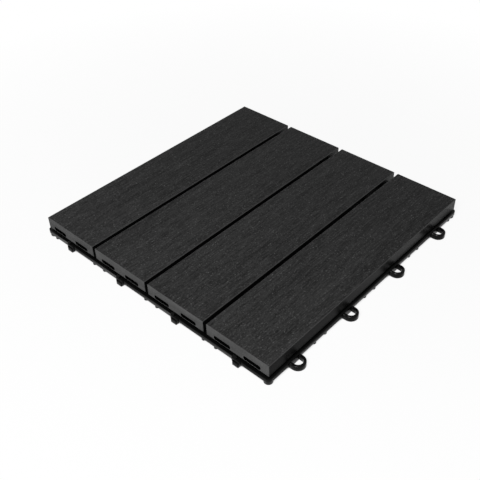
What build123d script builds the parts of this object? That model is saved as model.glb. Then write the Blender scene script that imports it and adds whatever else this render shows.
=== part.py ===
"""Composite deck tile: composite boards screwed onto a moulded base that clicks to its neighbours.

Millimetres. The tile lies flat: +Z is up, z = 0 is the floor under the feet, and the origin is under the
middle of the tile. The boards run along Y. Connector loops stand on the +X and +Y sides, pegs on -X and -Y.
"""
import os

from build123d import *

# Boards: extruded composite strips with two flat hollow chambers each
board_count = 4
board_pitch = 75.0
board_gap = 4.2
board_length = 295.8
board_thickness = 12.5
board_edge_radius = 0.7
chamber_width = 18.0
chamber_height = 3.6
chamber_spacing = 34.0
chamber_floor = 1.3
chamber_corner = 0.8

# Base frame: an outer rim, a shelf behind it and a lattice of ribs that carries the boards
support_height = 9.5
rim_proud = 2.0
rim_bottom = 3.2
rim_height = 4.1
rim_wall = 1.8
rim_corner_radius = 4.2
shelf_thickness = 1.6
frame_setback = 2.0
rib_thickness = 1.8

# Rib lattice: every module has the same ribs, tie ribs along the boards and carrying ribs across them
modules_along_board = 4
near_rib_step = 15.0
far_tie_rib_step = 45.0
far_carrying_rib_step = 48.0
rib_shift = 2.4

# Feet: slim eight-sided studs under the rib ends and crossings, wide round pads under the corners and middle
stud_sides = 8
foot_radius = 2.3
pad_radius = 4.2
foot_margin = 0.4

# Connector loops: round-ended rings that stand out of the rim
loop_radius = 7.4
loop_wall = 2.4
loop_reach = 2.7
loop_bottom = 0.5
loop_below_rim_top = 1.4
loop_edge_chamfer = 0.5

# Connector pegs: a bridge on the rim, a tongue from it up to the boards, and a pin that hangs from it
bridge_width = 9.2
bridge_proud = 1.3
tongue_width = 3.6
tongue_lean = 2.1
tongue_clearance = 0.2
window_width = 3.9
pin_width = 7.1
pin_proud = 2.4
pin_depth = 6.0
pin_bottom = 0.4
pin_overlap = 1.5
pin_corner_radius = 0.8

# Connector places along a side, from the middle of each module
end_side_shift = 1.6
long_side_shift = -3.6

# Screws: blunt, driven up through bosses of the base into the solid web along each board's middle
boss_radius = 5.0
screw_radius = 1.75
screw_cover = 3.4
head_radius = 3.5
head_height = 1.8
head_draft = 0.7
drive_length = 4.0
drive_width = 0.9
drive_depth = 0.9
shank_clearance = 0.25
pilot_clearance = 0.05
pilot_run = 0.5

# Sizes that follow from those above
board_width = board_pitch - board_gap
deck_width = board_count * board_pitch - board_gap
module_length = (board_length + board_gap) / modules_along_board
base_width = deck_width + 2 * rim_proud
base_length = board_length + 2 * rim_proud
frame_width = deck_width - 2 * frame_setback
frame_length = board_length - 2 * frame_setback
frame_depth = rim_proud + frame_setback
rim_top = rim_bottom + rim_height
shelf_bottom = rim_top - shelf_thickness
shelf_middle = rim_top - shelf_thickness / 2
rib_height = support_height - rim_bottom
loop_height = rim_top - loop_below_rim_top - loop_bottom
pin_height = rim_bottom + pin_overlap - pin_bottom
tongue_top = support_height - tongue_clearance
tip_height = support_height + board_thickness - screw_cover
screw_length = tip_height - rim_bottom
pilot_depth = tip_height - support_height + pilot_run

# Modules repeat across the boards and along them. Tie ribs step from each module's left edge, carrying ribs
# from its far edge. The first rib of all is left out, because the frame's wall stands there.
left_edges = [(index - board_count / 2) * board_pitch for index in range(board_count)]
far_edges = [(modules_along_board / 2 - index) * module_length for index in range(modules_along_board)]
tie_rib_steps = (0, near_rib_step, far_tie_rib_step)
carrying_rib_steps = (0, near_rib_step, far_carrying_rib_step)
rib_x = [edge + step - rib_shift for edge in left_edges for step in tie_rib_steps][1:]
rib_y = [edge - step + rib_shift for edge in far_edges for step in carrying_rib_steps][1:]
main_rib_x = [edge - rib_shift for edge in left_edges[1:]]
main_rib_y = [edge + rib_shift for edge in far_edges[1:]]
last_rib_x = [edge + far_tie_rib_step - rib_shift for edge in left_edges]
last_rib_y = [edge - far_carrying_rib_step + rib_shift for edge in far_edges]
wall_x = (frame_width - rib_thickness) / 2
wall_y = (frame_length - rib_thickness) / 2
board_x = [edge + board_pitch / 2 for edge in left_edges]
module_y = [edge - module_length / 2 for edge in far_edges]

# The last rib of each module ends at a connector, so a foot stands under it only beside a loop
foot_line_x = base_width / 2 - foot_margin - foot_radius
foot_line_y = base_length / 2 - foot_margin - foot_radius
foot_places = [(foot_line_x, y) for y in rib_y]
foot_places += [(x, foot_line_y) for x in rib_x]
foot_places += [(-foot_line_x, y) for y in rib_y if y not in last_rib_y]
foot_places += [(x, -foot_line_y) for x in rib_x if x not in last_rib_x]
pad_spacing_x = base_width - 2 * (foot_margin + pad_radius)
pad_spacing_y = base_length - 2 * (foot_margin + pad_radius)
middle_pad = (min(main_rib_x, key=abs), min(main_rib_y, key=abs))
inner_foot_places = [(x, y) for x in main_rib_x for y in main_rib_y if (x, y) != middle_pad]

# A connector's own +X points out of the tile, and its own origin lies on the rim's face
loop_places = [Location((base_width / 2, y + long_side_shift, 0)) for y in module_y]
loop_places += [Location((x + end_side_shift, base_length / 2, 0), (0, 0, 90)) for x in board_x]
end_peg_places = [Location((x + end_side_shift, -base_length / 2, 0), (0, 0, -90)) for x in board_x]
long_peg_places = [Location((-base_width / 2, y + long_side_shift, 0), (0, 0, 180)) for y in module_y]

# Two screws stand on each board's middle line, where the last ribs of its end modules cross under it
screw_y = [last_rib_y[0], last_rib_y[-1]]
screw_places = [(x, y) for x in board_x for y in screw_y]

os.makedirs("parts", exist_ok=True)

# Connector loop, a feature of the base: a ring with a flat back, its outer top edge eased
with BuildPart() as loop:
    with BuildSketch(Plane.XY.offset(loop_bottom)):
        for radius, back, mode in (
            (loop_radius, -rim_wall, Mode.ADD),
            (loop_radius - loop_wall, 0, Mode.SUBTRACT),
        ):
            with BuildLine():
                Polyline((loop_reach, -radius), (back, -radius), (back, radius), (loop_reach, radius))
                ThreePointArc((loop_reach, radius), (loop_reach + radius, 0), (loop_reach, -radius))
            make_face(mode=mode)
    extrude(amount=loop_height)
    outer_arcs = loop.edges().filter_by(GeomType.CIRCLE).group_by(SortBy.RADIUS)[-1]
    chamfer(outer_arcs.sort_by(Axis.Z)[-1], loop_edge_chamfer)

# Connector peg, a feature of the base
with BuildPart() as peg:
    # Bridge: a raised panel on the rim's face
    with BuildSketch(Plane.XY.offset(rim_bottom)):
        with Locations((-rim_wall, 0)):
            Rectangle(rim_wall + bridge_proud, bridge_width, align=(Align.MIN, Align.CENTER))
    extrude(amount=rim_height)
    # Tongue: leans back from the bridge's face and runs in close under the board
    with BuildSketch(Plane.XZ.offset(bridge_width / 2)):
        with BuildLine():
            Polyline(
                (-frame_depth - rib_thickness / 2, shelf_middle),
                (bridge_proud, shelf_middle),
                (bridge_proud, rim_top),
                (bridge_proud - tongue_lean, tongue_top),
                (-frame_depth - rib_thickness / 2, tongue_top),
                close=True,
            )
        make_face()
    extrude(amount=-tongue_width)
    # Pin: a rounded block that stands out in front of the bridge and reaches back under the shelf
    with BuildSketch(Plane.XY.offset(pin_bottom)) as pin_outline:
        with Locations((pin_proud, 0)):
            Rectangle(pin_depth, pin_width, align=(Align.MAX, Align.CENTER))
        fillet(pin_outline.vertices().group_by(Axis.X)[-1], pin_corner_radius)
    extrude(amount=pin_height)

# Base grid: rim, shelf, ribs, feet, screw bosses and connectors, moulded in one piece
with BuildPart() as base_grid:
    with BuildSketch(Plane.XY.offset(rim_bottom)):
        RectangleRounded(base_width, base_length, rim_corner_radius)
        RectangleRounded(
            base_width - 2 * rim_wall,
            base_length - 2 * rim_wall,
            rim_corner_radius - rim_wall,
            mode=Mode.SUBTRACT,
        )
    extrude(amount=rim_height)
    with BuildSketch(Plane.XY.offset(shelf_bottom)):
        RectangleRounded(base_width - rim_wall, base_length - rim_wall, rim_corner_radius - rim_wall / 2)
        Rectangle(frame_width - rib_thickness, frame_length - rib_thickness, mode=Mode.SUBTRACT)
    extrude(amount=shelf_thickness)
    # Tie ribs along the boards, level with the rim
    with BuildSketch(Plane.XY.offset(rim_bottom)):
        with Locations(*[(x, 0) for x in [-wall_x, *rib_x, wall_x]]):
            Rectangle(rib_thickness, frame_length)
    extrude(amount=rim_height)
    # Carrying ribs across the boards, up to their undersides
    with BuildSketch(Plane.XY.offset(rim_bottom)):
        with Locations(*[(0, y) for y in [-wall_y, *rib_y, wall_y]]):
            Rectangle(frame_width, rib_thickness)
    extrude(amount=rib_height)
    # A window in the end wall beside each tongue
    with BuildSketch(Plane.XY.offset(rim_top)):
        with Locations(*end_peg_places):
            with Locations((-frame_depth - rib_thickness / 2, tongue_width - bridge_width / 2)):
                Rectangle(rib_thickness, window_width, align=(Align.CENTER, Align.MIN))
    extrude(amount=support_height - rim_top, mode=Mode.SUBTRACT)
    with BuildSketch():
        with Locations(*foot_places, *inner_foot_places):
            RegularPolygon(foot_radius, stud_sides, rotation=180 / stud_sides)
        with Locations(middle_pad):
            Circle(pad_radius)
        with GridLocations(pad_spacing_x, pad_spacing_y, 2, 2):
            Circle(pad_radius)
    extrude(amount=shelf_middle)
    with BuildSketch(Plane.XY.offset(rim_bottom)):
        with Locations(*screw_places):
            RegularPolygon(boss_radius, stud_sides, rotation=180 / stud_sides)
    extrude(amount=rib_height)
    with Locations(*[(x, y, support_height) for x, y in screw_places]):
        Hole(screw_radius + shank_clearance, depth=rib_height)
    with Locations(*loop_places):
        add(loop.part)
    with Locations(*long_peg_places, *end_peg_places):
        add(peg.part)
base_grid.part.label = "base_grid"
export_step(base_grid.part, "parts/base_grid.step")

# Boards, numbered from the left. The long top edges are eased, the ends are sawn square, and pilot holes
# for the screws go up into the solid web between the two chambers.
for number, x in enumerate(board_x, start=1):
    with BuildPart() as board:
        with BuildSketch(Plane.XZ.offset(board_length / 2)) as board_section:
            with Locations((x, support_height)):
                Rectangle(board_width, board_thickness, align=(Align.CENTER, Align.MIN))
            fillet(board_section.vertices().group_by(Axis.Y)[-1], board_edge_radius)
        extrude(amount=-board_length)
        with BuildSketch(Plane.XZ.offset(board_length / 2)) as chamber_section:
            with Locations((x, support_height + chamber_floor + chamber_height / 2)):
                with GridLocations(chamber_spacing, 0, 2, 1):
                    Rectangle(chamber_width, chamber_height)
            chamfer(chamber_section.vertices(), chamber_corner)
        extrude(amount=-board_length, mode=Mode.SUBTRACT)
        with Locations(*[Location((x, y, support_height), (180, 0, 0)) for y in screw_y]):
            Hole(screw_radius + pilot_clearance, depth=pilot_depth)
    board.part.label = f"board_{number}"
    export_step(board.part, f"parts/board_{number}.step")

# Screw: a pan head with a cross drive, hanging below the origin, and a blunt shank above it
with BuildPart() as screw:
    with BuildSketch(Plane.XZ):
        with BuildLine():
            Polyline(
                (0, -head_height),
                (head_radius - head_draft, -head_height),
                (head_radius, 0),
                (screw_radius, 0),
                (screw_radius, screw_length),
                (0, screw_length),
                close=True,
            )
        make_face()
    revolve(axis=Axis.Z)
    with BuildSketch(Plane.XY.offset(-head_height)):
        Rectangle(drive_length, drive_width)
        Rectangle(drive_width, drive_length)
    extrude(amount=drive_depth, mode=Mode.SUBTRACT)

# Board screws: one group of identical fasteners
with BuildPart() as board_screws:
    with Locations(*[(x, y, rim_bottom) for x, y in screw_places]):
        add(screw.part)
board_screws.part.label = "board_screws"
export_step(board_screws.part, "parts/board_screws.step")
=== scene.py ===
"""Composite deck tile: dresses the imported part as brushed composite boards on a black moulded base."""
import math

import bpy
from mathutils import Matrix, Vector


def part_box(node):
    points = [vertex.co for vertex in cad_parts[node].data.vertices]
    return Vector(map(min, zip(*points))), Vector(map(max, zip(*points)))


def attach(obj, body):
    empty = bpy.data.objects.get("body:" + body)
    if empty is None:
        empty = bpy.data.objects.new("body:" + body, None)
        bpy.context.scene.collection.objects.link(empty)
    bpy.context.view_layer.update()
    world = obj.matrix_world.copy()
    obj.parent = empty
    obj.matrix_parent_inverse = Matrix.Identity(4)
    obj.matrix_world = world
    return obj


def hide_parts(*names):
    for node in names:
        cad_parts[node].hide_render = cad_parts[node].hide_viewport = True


bl_info = {
    "name": "Composite Deck Tile",
    "version": (1, 0, 0),
    "blender": (4, 5, 0),
    "location": "3D View > Sidebar > Deck Tile",
    "description": "Dresses a composite deck tile and sets up its studio",
    "category": "Object",
}

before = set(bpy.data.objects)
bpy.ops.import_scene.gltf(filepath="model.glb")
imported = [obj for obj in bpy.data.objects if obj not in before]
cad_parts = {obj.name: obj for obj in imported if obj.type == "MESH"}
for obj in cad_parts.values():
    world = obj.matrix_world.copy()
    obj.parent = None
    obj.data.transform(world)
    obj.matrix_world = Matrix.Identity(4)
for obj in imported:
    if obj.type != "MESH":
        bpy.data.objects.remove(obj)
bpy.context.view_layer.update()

MM = 0.001
BODY = "root"
BOARD_NODES = sorted(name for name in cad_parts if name.startswith("board_") and name[-1].isdigit())
BASE_NODE = "base_grid"
SCREW_NODE = "board_screws"
DECK_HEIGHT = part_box(BOARD_NODES[0])[1][2]
# From a board's middle to the middle of each chamber
CHAMBER_OFFSET = 17 * MM
# Faces this close to the sides of a board's box are on its outside
OUTSIDE_DEPTH = 0.8 * MM

# Triangles that meet at less than this make one face
FLAT_ANGLE = math.radians(0.5)
# Edges of the base and the screws that bend by more than this are eased
SHARP_ANGLE = math.radians(40)
# Edges that bend by less than these are shaded smooth
BOARD_SMOOTH_ANGLE = math.radians(50)
MOULDED_SMOOTH_ANGLE = math.radians(35)

# The photograph is square, and a full-frame sensor's width covers it
PHOTO_PIXELS = 480
SENSOR_MM = 36.0


def linear(code):
    """Turns an sRGB hex colour into the linear values that shaders take."""
    levels = [int(code[i : i + 2], 16) / 255 for i in (1, 3, 5)]
    return tuple(v / 12.92 if v <= 0.04045 else ((v + 0.055) / 1.055) ** 2.4 for v in levels)


def colour_property(name, description, code):
    """A colour that the user may change, with its default as a hex code."""
    return bpy.props.FloatVectorProperty(
        name=name, description=description, default=linear(code), subtype="COLOR", min=0, max=1
    )


def length_property(name, description, millimetres):
    """A length that the user may change, with its default in millimetres."""
    return bpy.props.FloatProperty(
        name=name, description=description, default=millimetres * MM, unit="LENGTH", min=0, precision=5
    )


def angle_property(name, description, degrees):
    """An angle that the user may change, with its default in degrees."""
    return bpy.props.FloatProperty(
        name=name, description=description, default=math.radians(degrees), subtype="ANGLE"
    )


class BoardSettings(bpy.types.PropertyGroup):
    """Colours and sizes of the boards."""

    valley_colour: colour_property("Brushed valleys", "Composite between the brushed fibres", "#1a1a1a")
    # Also the pale colour of the painted highlight on the rounded top edges
    ridge_and_edge_highlight_colour: colour_property("Brushed ridges", "Fibres that the brush has raised", "#363636")
    speck_colour: colour_property("Wood specks", "Pale wood flour in the composite", "#5c5c5c")
    side_colour: colour_property("Extruded sides", "Smooth skin on the long sides and underside", "#060606")
    # Painted shade: the inside of the chambers is coloured near-black for the shade in them
    chamber_shade_colour: colour_property("Chambers", "Skin inside the hollow chambers", "#020202")
    sawn_colour: colour_property("Sawn ends", "Freshly cut composite at a board's end", "#474747")
    fibre_width: length_property("Fibre width", "Spacing of the brush marks across a board", 0.7)
    fibre_length: length_property("Fibre length", "Length of a brush mark along a board", 14.0)
    streak_width: length_property("Streak width", "Width of the broad light and dark streaks", 9.0)
    streak_length: length_property("Streak length", "Length of the broad light and dark streaks", 250.0)
    end_edge: length_property("End edge", "Rounding of the sawn ends' outer edges", 0.5)
    mouth_edge: length_property("Chamber mouth", "Edge broken out of the chambers' mouths by the saw", 0.4)


class BaseSettings(bpy.types.PropertyGroup):
    """Colours and sizes of the moulded base and its screws."""

    plastic_colour: colour_property("Base plastic", "Black pigmented polypropylene", "#050505")
    screw_colour: colour_property("Screws", "Zinc plating on the screws", "#b9bbbd")
    mould_grit: length_property("Mould grit", "Spacing of the mould's spark-eroded texture", 0.6)
    moulded_edge: length_property("Moulded edge", "Rounding of the base's edges", 0.25)
    screw_edge: length_property("Screw edge", "Rounding of the screw heads' edges", 0.12)


class StageSettings(bpy.types.PropertyGroup):
    """Camera, lights and floor."""

    azimuth: angle_property("Azimuth", "Camera's turn from the front", 42.36)
    elevation: angle_property("Elevation", "Camera's height above the horizon", 39.05)
    roll: angle_property("Roll", "Camera's tilt about its own line of sight", -0.93)
    distance: length_property("Distance", "From the camera to the deck's middle, along the sight line", 743.7)
    offset_right: bpy.props.FloatProperty(
        name="Offset right", description="Camera's sideways offset", default=-0.42 * MM, unit="LENGTH"
    )
    offset_up: bpy.props.FloatProperty(
        name="Offset up", description="Camera's upward offset", default=-20.20 * MM, unit="LENGTH"
    )
    focal_pixels: bpy.props.FloatProperty(
        name="Focal length",
        description="Lens length in pixels of the photograph",
        default=727.0,
        subtype="PIXEL",
    )
    centre_pixels: bpy.props.FloatVectorProperty(
        name="Lens centre",
        description="Pixel of the photograph that the line of sight meets",
        size=2,
        default=(253.55, 227.85),
        subtype="COORDINATES",
    )
    floor_colour: colour_property("Floor", "Plain pale studio floor", "#e9e9e9")
    floor_whitening: bpy.props.FloatProperty(
        name="Floor whitening",
        description="Share of plain white in the floor by the tile",
        default=0.85,
        subtype="FACTOR",
        min=0,
        max=1,
    )
    shadow_reach: length_property("Shadow reach", "Where the shadow starts to fade, from the middle", 200)
    white_reach: length_property("White reach", "Where the floor is all white, from the middle", 600)
    cover_height: length_property("Cover height", "Height up to which a piece darkens the floor", 100)
    world_strength: bpy.props.FloatProperty(
        name="Room light", description="Strength of the even light from all round", default=0.06, min=0
    )
    key_power: bpy.props.FloatProperty(
        name="Key light", description="Power of the large softbox in front", default=60.5, min=0, unit="POWER"
    )
    softbox_width: length_property("Softbox width", "Width of the softbox", 800)
    softbox_height: length_property("Softbox height", "Height of the softbox", 1400)
    softbox_place: bpy.props.FloatVectorProperty(
        name="Softbox place",
        description="Where the middle of the softbox hangs",
        default=(0.45, -1.3, 1.7),
        subtype="TRANSLATION",
        unit="LENGTH",
    )


def add_node(tree, kind, inputs=None, **settings):
    """Adds a node with its settings, and fills its inputs with values or links."""
    node = tree.nodes.new(kind)
    for name, value in settings.items():
        setattr(node, name, value)
    for name, value in (inputs or {}).items():
        if isinstance(value, bpy.types.NodeSocket):
            tree.links.new(value, node.inputs[name])
        else:
            node.inputs[name].default_value = value
    return node


def new_material(name):
    """An empty node material."""
    material = bpy.data.materials.new(name)
    material.use_nodes = True
    material.node_tree.nodes.clear()
    return material, material.node_tree


def finish_material(tree, shader):
    """Links a shader to the material's output."""
    add_node(tree, "ShaderNodeOutputMaterial", {"Surface": shader.outputs[0]})


def stretched(tree, spacing):
    """Object coordinates divided by a spacing along each axis, in metres."""
    place = add_node(tree, "ShaderNodeTexCoord").outputs["Object"]
    scale = [1 / step for step in spacing]
    return add_node(tree, "ShaderNodeMapping", {"Vector": place, "Scale": scale}).outputs["Vector"]


def rgba(colour):
    """A colour with full alpha."""
    return (*colour, 1.0)


def brushed_composite(boards):
    """Wood-plastic composite whose extruded skin was brushed off along the board.

    The open surface has hardly any shine: fine short fibres, longer soft streaks and a few pale grains of
    wood flour.
    """
    material, tree = new_material("brushed_wood_plastic_composite")
    fibres = add_node(
        tree,
        "ShaderNodeTexNoise",
        {
            "Vector": stretched(tree, (boards.fibre_width, boards.fibre_length, boards.fibre_width)),
            "Scale": 1.0,
            "Detail": 2.0,
        },
    ).outputs["Fac"]
    streaks = add_node(
        tree,
        "ShaderNodeTexNoise",
        {
            "Vector": stretched(tree, (boards.streak_width, boards.streak_length, boards.streak_width)),
            "Scale": 1.0,
            "Detail": 3.0,
            "Roughness": 0.6,
        },
    ).outputs["Fac"]
    # Grains are drawn about a millimetre wide, because the real ones are too fine to show
    grains = add_node(
        tree,
        "ShaderNodeTexNoise",
        {"Vector": stretched(tree, (0.8 * MM, 1.4 * MM, 0.8 * MM)), "Scale": 1.0, "Detail": 1.0},
    ).outputs["Fac"]
    grained = add_node(
        tree, "ShaderNodeMath", {0: fibres, 1: 1.2, 2: grains}, operation="MULTIPLY_ADD"
    ).outputs[0]
    height = add_node(
        tree, "ShaderNodeMath", {0: streaks, 1: 0.5, 2: grained}, operation="MULTIPLY_ADD"
    ).outputs[0]
    level = add_node(
        tree, "ShaderNodeMapRange", {"Value": height, "From Min": 1.03, "From Max": 1.67}
    ).outputs["Result"]
    brushed = add_node(
        tree,
        "ShaderNodeMix",
        {"Factor": level, "A": rgba(boards.valley_colour), "B": rgba(boards.ridge_and_edge_highlight_colour)},
        data_type="RGBA",
    ).outputs["Result"]
    grain_level = add_node(
        tree, "ShaderNodeMapRange", {"Value": grains, "From Min": 0.66, "From Max": 0.80}
    ).outputs["Result"]
    colour = add_node(
        tree,
        "ShaderNodeMix",
        {"Factor": grain_level, "A": brushed, "B": rgba(boards.speck_colour)},
        data_type="RGBA",
    ).outputs["Result"]
    bump = add_node(
        tree, "ShaderNodeBump", {"Height": height, "Strength": 0.5, "Distance": 0.12 * MM}
    ).outputs["Normal"]
    shader = add_node(
        tree,
        "ShaderNodeBsdfPrincipled",
        {"Base Color": colour, "Roughness": 0.75, "Specular IOR Level": 0.03, "Normal": bump},
    )
    finish_material(tree, shader)
    return material


def extruded_composite(boards):
    """The same composite with its extruded skin left on: smoother, with faint die lines along the board."""
    material, tree = new_material("extruded_composite_skin")
    lines = add_node(
        tree,
        "ShaderNodeTexNoise",
        {"Vector": stretched(tree, (0.8 * MM, 90 * MM, 0.8 * MM)), "Scale": 1.0, "Detail": 3.0},
    ).outputs["Fac"]
    roughness = add_node(
        tree, "ShaderNodeMapRange", {"Value": lines, "To Min": 0.30, "To Max": 0.44}
    ).outputs["Result"]
    bump = add_node(
        tree, "ShaderNodeBump", {"Height": lines, "Strength": 0.35, "Distance": 0.08 * MM}
    ).outputs["Normal"]
    shader = add_node(
        tree,
        "ShaderNodeBsdfPrincipled",
        {
            "Base Color": rgba(boards.side_colour),
            "Roughness": roughness,
            "Specular IOR Level": 0.05,
            "Normal": bump,
        },
    )
    finish_material(tree, shader)
    return material


def painted_highlight_composite(boards):
    """Long top edges with a painted highlight: their pale ridge colour draws a light line along each board,
    and their smoother skin adds a faint real shine.
    """
    material, tree = new_material("painted_highlight_composite_edge")
    shader = add_node(
        tree,
        "ShaderNodeBsdfPrincipled",
        {"Base Color": rgba(boards.ridge_and_edge_highlight_colour), "Roughness": 0.3, "Specular IOR Level": 0.08},
    )
    finish_material(tree, shader)
    return material


def chamber_painted_shade(boards):
    """Composite inside the chambers, painted near-black as shade, so that the openings read black."""
    material, tree = new_material("chamber_painted_shade_composite")
    shader = add_node(
        tree,
        "ShaderNodeBsdfPrincipled",
        {"Base Color": rgba(boards.chamber_shade_colour), "Roughness": 0.9, "Specular IOR Level": 0.0},
    )
    finish_material(tree, shader)
    return material


def sawn_composite(boards):
    """The composite's cut end: paler and matt, softly clouded, with faint upright saw marks."""
    material, tree = new_material("sawn_composite_end")
    marks = add_node(
        tree,
        "ShaderNodeTexNoise",
        {"Vector": stretched(tree, (1.2 * MM, 1.2 * MM, 5 * MM)), "Scale": 1.0, "Detail": 3.0},
    ).outputs["Fac"]
    clouds = add_node(
        tree,
        "ShaderNodeTexNoise",
        {"Vector": stretched(tree, (30 * MM, 30 * MM, 12 * MM)), "Scale": 1.0, "Detail": 2.0},
    ).outputs["Fac"]
    height = add_node(
        tree, "ShaderNodeMath", {0: marks, 1: 0.4, 2: clouds}, operation="MULTIPLY_ADD"
    ).outputs[0]
    level = add_node(
        tree, "ShaderNodeMapRange", {"Value": height, "From Min": 0.4, "From Max": 1.0}
    ).outputs["Result"]
    colour = add_node(
        tree,
        "ShaderNodeMix",
        {
            "Factor": level,
            "A": rgba([0.7 * v for v in boards.sawn_colour]),
            "B": rgba([1.3 * v for v in boards.sawn_colour]),
        },
        data_type="RGBA",
    ).outputs["Result"]
    bump = add_node(
        tree, "ShaderNodeBump", {"Height": marks, "Strength": 0.4, "Distance": 0.1 * MM}
    ).outputs["Normal"]
    shader = add_node(
        tree,
        "ShaderNodeBsdfPrincipled",
        {"Base Color": colour, "Roughness": 0.8, "Specular IOR Level": 0.06, "Normal": bump},
    )
    finish_material(tree, shader)
    return material


def moulded_polypropylene(base):
    """Black polypropylene from a spark-eroded mould: near-black, with a soft sheen and a fine even grit."""
    material, tree = new_material("moulded_black_polypropylene")
    # Grit is drawn coarser than the real tenth of a millimetre, which is too fine to show
    grit = add_node(
        tree,
        "ShaderNodeTexNoise",
        {"Vector": stretched(tree, [base.mould_grit] * 3), "Scale": 1.0, "Detail": 2.0},
    ).outputs["Fac"]
    roughness = add_node(
        tree, "ShaderNodeMapRange", {"Value": grit, "To Min": 0.20, "To Max": 0.30}
    ).outputs["Result"]
    bump = add_node(
        tree, "ShaderNodeBump", {"Height": grit, "Strength": 0.2, "Distance": 0.05 * MM}
    ).outputs["Normal"]
    shader = add_node(
        tree,
        "ShaderNodeBsdfPrincipled",
        {
            "Base Color": rgba(base.plastic_colour),
            "Roughness": roughness,
            "IOR": 1.49,
            "Specular IOR Level": 0.08,
            "Normal": bump,
        },
    )
    finish_material(tree, shader)
    return material


def zinc_plated_steel(base):
    """Bright zinc on steel: a soft metal shine, slightly cloudy."""
    material, tree = new_material("zinc_plated_steel")
    clouds = add_node(
        tree,
        "ShaderNodeTexNoise",
        {"Vector": stretched(tree, [1.5 * MM] * 3), "Scale": 1.0, "Detail": 2.0},
    ).outputs["Fac"]
    roughness = add_node(
        tree, "ShaderNodeMapRange", {"Value": clouds, "To Min": 0.28, "To Max": 0.42}
    ).outputs["Result"]
    shader = add_node(
        tree,
        "ShaderNodeBsdfPrincipled",
        {"Base Color": rgba(base.screw_colour), "Metallic": 1.0, "Roughness": roughness},
    )
    finish_material(tree, shader)
    return material


def backdrop_rays(tree):
    """One for the rays that show the white backdrop: the camera's, and those of reflections and glass."""
    path = add_node(tree, "ShaderNodeLightPath").outputs
    seen = add_node(
        tree, "ShaderNodeMath", {0: path["Is Camera Ray"], 1: path["Is Glossy Ray"]}, operation="MAXIMUM"
    ).outputs[0]
    return add_node(
        tree, "ShaderNodeMath", {0: seen, 1: path["Is Transmission Ray"]}, operation="MAXIMUM"
    ).outputs[0]


def painted_floor(stage):
    """Matt white paint: it keeps a soft shadow by the tile, is dark beneath it and plain white far off."""
    material, tree = new_material("matt_studio_floor")
    paint = add_node(tree, "ShaderNodeBsdfDiffuse", {"Color": rgba(stage.floor_colour)})
    white = add_node(tree, "ShaderNodeEmission", {"Color": (1, 1, 1, 1), "Strength": 1.0})
    place = add_node(tree, "ShaderNodeTexCoord").outputs["Object"]
    distance = add_node(tree, "ShaderNodeVectorMath", {0: place}, operation="LENGTH").outputs["Value"]
    open_whitening = add_node(
        tree,
        "ShaderNodeMapRange",
        {
            "Value": distance,
            "From Min": stage.shadow_reach,
            "From Max": stage.white_reach,
            "To Min": stage.floor_whitening,
            "To Max": 1.0,
        },
    ).outputs["Result"]
    openness = add_node(tree, "ShaderNodeAmbientOcclusion", {"Distance": stage.cover_height}).outputs["AO"]
    whitening = add_node(
        tree,
        "ShaderNodeMapRange",
        {"Value": openness, "From Min": 0.1, "From Max": 0.3, "To Max": open_whitening},
    ).outputs["Result"]
    share = add_node(
        tree, "ShaderNodeMath", {0: backdrop_rays(tree), 1: whitening}, operation="MULTIPLY"
    ).outputs[0]
    shader = add_node(
        tree, "ShaderNodeMixShader", {"Fac": share, 1: paint.outputs[0], 2: white.outputs[0]}
    )
    finish_material(tree, shader)
    return material


def deselect_all():
    """Leaves no object selected or active."""
    bpy.ops.object.select_all(action="DESELECT")
    bpy.context.view_layer.objects.active = None


def merged_copy(node_name, piece_name, cuts=()):
    """Copies a node and joins its loose triangles into faces, which stop at any cuts across X."""
    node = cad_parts[node_name]
    deselect_all()
    piece = node.copy()
    piece.data = node.data.copy()
    piece.name = piece_name
    piece.data.name = piece_name
    piece.data.materials.clear()
    bpy.context.scene.collection.objects.link(piece)
    piece.select_set(True)
    bpy.context.view_layer.objects.active = piece
    bpy.ops.object.mode_set(mode="EDIT")
    bpy.ops.mesh.select_all(action="SELECT")
    bpy.ops.mesh.remove_doubles(threshold=0.001 * MM)
    bpy.ops.mesh.customdata_custom_splitnormals_clear()
    for x in cuts:
        bpy.ops.mesh.select_all(action="SELECT")
        bpy.ops.mesh.bisect(plane_co=(x, 0, 0), plane_no=(1, 0, 0))
        bpy.ops.mesh.mark_seam()
    bpy.ops.mesh.select_all(action="SELECT")
    bpy.ops.mesh.dissolve_limited(angle_limit=FLAT_ANGLE, delimit={"SEAM"})
    bpy.ops.object.mode_set(mode="OBJECT")
    return piece


def ease_edges(piece, width):
    """Rounds a piece's sharp edges."""
    bevel = piece.modifiers.new("eased edges", "BEVEL")
    bevel.width = width
    bevel.segments = 2
    bevel.limit_method = "ANGLE"
    bevel.angle_limit = SHARP_ANGLE
    bpy.ops.object.modifier_apply(modifier=bevel.name)


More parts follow.
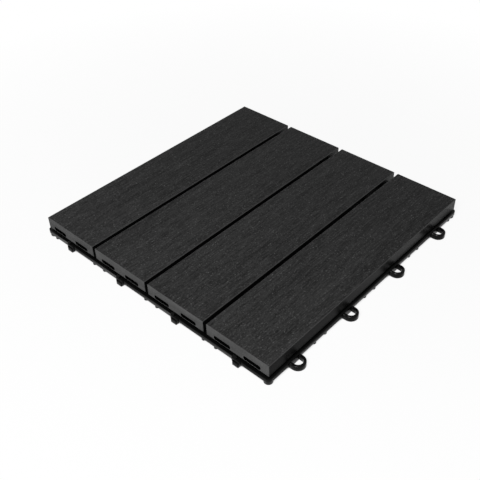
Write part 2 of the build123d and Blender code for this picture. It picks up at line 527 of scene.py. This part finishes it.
class DECKTILE_OT_boards(bpy.types.Operator):
    """Make the composite boards: brushed tops, extruded sides, sawn ends and dark chambers"""

    bl_idname = "deck_tile.boards"
    bl_label = "Boards"

    def execute(self, context):
        boards = context.scene.deck_boards
        finishes = {
            "brushed": brushed_composite(boards),
            "extruded": extruded_composite(boards),
            "painted_highlight": painted_highlight_composite(boards),
            "sawn": sawn_composite(boards),
            "chamber": chamber_painted_shade(boards),
        }
        slots = list(finishes)
        for node_name in BOARD_NODES:
            low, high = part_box(node_name)
            middle = (low[0] + high[0]) / 2
            # A cut through each chamber's middle leaves end faces without holes, which bevel cleanly
            cuts = (middle - CHAMBER_OFFSET, middle + CHAMBER_OFFSET)
            piece = merged_copy(node_name, node_name.replace("board", "brushed_board"), cuts)
            for finish in finishes.values():
                piece.data.materials.append(finish)
            for face in piece.data.polygons:
                face.material_index = slots.index(self.finish_of(face, low, high))
            self.break_edges(piece, slots, {"brushed", "painted_highlight", "extruded"}, "sawn", boards.end_edge)
            # The chambers' broken mouths take the chambers' painted shade too
            self.break_edges(piece, slots, {"chamber"}, "chamber", boards.mouth_edge)
            bpy.ops.object.shade_smooth_by_angle(angle=BOARD_SMOOTH_ANGLE)
            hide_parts(node_name)
            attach(piece, BODY)
        return {"FINISHED"}

    def finish_of(self, face, low, high):
        """Which finish a face of a board has, by where it lies on the board and which way it looks."""
        at_side, at_end, at_face = (
            not low[i] + OUTSIDE_DEPTH < face.center[i] < high[i] - OUTSIDE_DEPTH for i in range(3)
        )
        if at_end:
            return "sawn"
        # Faces inside the chambers get their painted shade
        if not at_side and not at_face:
            return "chamber"
        if face.normal.z > 0.99:
            return "brushed"
        # Rounded top edges get the painted highlight; the other faces are the plain extruded skin
        return "painted_highlight" if face.normal.z > 0.1 else "extruded"

    def break_edges(self, piece, slots, neighbours, finish, width):
        """Breaks the edges where the sawn ends meet their neighbours, and gives the new faces a finish."""
        finishes_at = {}
        for face in piece.data.polygons:
            for edge in face.edge_keys:
                finishes_at.setdefault(edge, set()).add(slots[face.material_index])
        bpy.ops.object.mode_set(mode="EDIT")
        bpy.ops.mesh.select_mode(type="EDGE")
        bpy.ops.mesh.select_all(action="DESELECT")
        bpy.ops.object.mode_set(mode="OBJECT")
        for edge in piece.data.edges:
            edge.select = "sawn" in finishes_at[edge.key] and bool(finishes_at[edge.key] & neighbours)
        bpy.ops.object.mode_set(mode="EDIT")
        bpy.ops.mesh.bevel(offset=width, segments=2, material=slots.index(finish))
        bpy.ops.object.mode_set(mode="OBJECT")


class DECKTILE_OT_base(bpy.types.Operator):
    """Make the moulded base with its rim, ribs, feet, loops and pegs"""

    bl_idname = "deck_tile.base"
    bl_label = "Moulded base"

    def execute(self, context):
        base = context.scene.deck_base
        piece = merged_copy(BASE_NODE, "moulded_base")
        ease_edges(piece, base.moulded_edge)
        bpy.ops.object.shade_smooth_by_angle(angle=MOULDED_SMOOTH_ANGLE)
        piece.data.materials.append(moulded_polypropylene(base))
        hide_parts(BASE_NODE)
        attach(piece, BODY)
        return {"FINISHED"}


class DECKTILE_OT_screws(bpy.types.Operator):
    """Make the screws that hold the boards from below"""

    bl_idname = "deck_tile.screws"
    bl_label = "Screws"

    def execute(self, context):
        base = context.scene.deck_base
        piece = merged_copy(SCREW_NODE, "zinc_screws")
        ease_edges(piece, base.screw_edge)
        bpy.ops.object.shade_smooth_by_angle(angle=MOULDED_SMOOTH_ANGLE)
        piece.data.materials.append(zinc_plated_steel(base))
        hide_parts(SCREW_NODE)
        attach(piece, BODY)
        return {"FINISHED"}


class DECKTILE_OT_stage(bpy.types.Operator):
    """Set up the floor, the lights and the camera"""

    bl_idname = "deck_tile.stage"
    bl_label = "Studio"

    def execute(self, context):
        scene = context.scene
        stage = scene.deck_stage
        scene.view_settings.view_transform = "Standard"
        self.add_floor(stage)
        self.light_room(scene, stage)
        self.add_softbox(stage)
        self.place_camera(scene, stage)
        return {"FINISHED"}

    def add_floor(self, stage):
        """A plain floor, large enough to reach past every view's edge."""
        deselect_all()
        bpy.ops.mesh.primitive_plane_add(size=12.0)
        floor = bpy.context.object
        floor.name = "studio_floor"
        floor.data.materials.append(painted_floor(stage))

    def light_room(self, scene, stage):
        """Even light from all round; the camera and reflections see it as a white backdrop."""
        world = bpy.data.worlds.new("white_studio")
        scene.world = world
        world.use_nodes = True
        tree = world.node_tree
        tree.nodes.clear()
        strength = add_node(
            tree,
            "ShaderNodeMapRange",
            {"Value": backdrop_rays(tree), "To Min": stage.world_strength, "To Max": 1.0},
        ).outputs["Result"]
        backdrop = add_node(tree, "ShaderNodeBackground", {"Color": (1, 1, 1, 1), "Strength": strength})
        add_node(tree, "ShaderNodeOutputWorld", {"Surface": backdrop.outputs[0]})

    def add_softbox(self, stage):
        """A large softbox high in front of the tile, aimed at its middle."""
        lamp = bpy.data.lights.new("softbox", "AREA")
        lamp.shape = "RECTANGLE"
        lamp.size = stage.softbox_width
        lamp.size_y = stage.softbox_height
        lamp.energy = stage.key_power
        softbox = bpy.data.objects.new("softbox", lamp)
        softbox.location = stage.softbox_place
        aim = Vector((0, 0, DECK_HEIGHT)) - softbox.location
        softbox.rotation_euler = aim.to_track_quat("-Z", "Y").to_euler()
        bpy.context.scene.collection.objects.link(softbox)

    def place_camera(self, scene, stage):
        """Stands the camera where the photograph was taken from."""
        lens = bpy.data.cameras.new("photo_camera")
        lens.sensor_width = SENSOR_MM
        lens.lens = SENSOR_MM * stage.focal_pixels / PHOTO_PIXELS
        middle = PHOTO_PIXELS / 2
        lens.shift_x = (middle - stage.centre_pixels[0]) / PHOTO_PIXELS
        lens.shift_y = (stage.centre_pixels[1] - middle) / PHOTO_PIXELS
        lens.clip_start = 0.05
        level, rise = math.cos(stage.elevation), math.sin(stage.elevation)
        back = Vector((math.sin(stage.azimuth) * level, -math.cos(stage.azimuth) * level, rise))
        right = Vector((0, 0, 1)).cross(back).normalized()
        up = back.cross(right)
        cosine, sine = math.cos(stage.roll), math.sin(stage.roll)
        right, up = cosine * right + sine * up, cosine * up - sine * right
        camera = bpy.data.objects.new("photo_camera", lens)
        target = Vector((0, 0, DECK_HEIGHT)) + right * stage.offset_right + up * stage.offset_up
        place = target + back * stage.distance
        camera.matrix_world = Matrix.Translation(place) @ Matrix((right, up, back)).transposed().to_4x4()
        scene.collection.objects.link(camera)
        scene.camera = camera


class DECKTILE_PT_panel(bpy.types.Panel):
    """Settings, and a button for each group of pieces"""

    bl_idname = "DECKTILE_PT_panel"
    bl_label = "Deck Tile"
    bl_space_type = "VIEW_3D"
    bl_region_type = "UI"
    bl_category = "Deck Tile"

    def draw(self, context):
        for name, group in SETTINGS.items():
            box = self.layout.box()
            for key in group.__annotations__:
                box.prop(getattr(context.scene, name), key)
        for operator in OPERATORS:
            self.layout.operator(operator.bl_idname)


SETTINGS = {"deck_boards": BoardSettings, "deck_base": BaseSettings, "deck_stage": StageSettings}
OPERATORS = (DECKTILE_OT_boards, DECKTILE_OT_base, DECKTILE_OT_screws, DECKTILE_OT_stage)
CLASSES = (*SETTINGS.values(), *OPERATORS, DECKTILE_PT_panel)


def register():
    for cls in CLASSES:
        bpy.utils.register_class(cls)
    for name, group in SETTINGS.items():
        setattr(bpy.types.Scene, name, bpy.props.PointerProperty(type=group))


def unregister():
    for name in SETTINGS:
        delattr(bpy.types.Scene, name)
    for cls in reversed(CLASSES):
        bpy.utils.unregister_class(cls)


def main():
    register()
    bpy.ops.deck_tile.boards()
    bpy.ops.deck_tile.base()
    bpy.ops.deck_tile.screws()
    bpy.ops.deck_tile.stage()


if __name__ == "__main__":
    main()
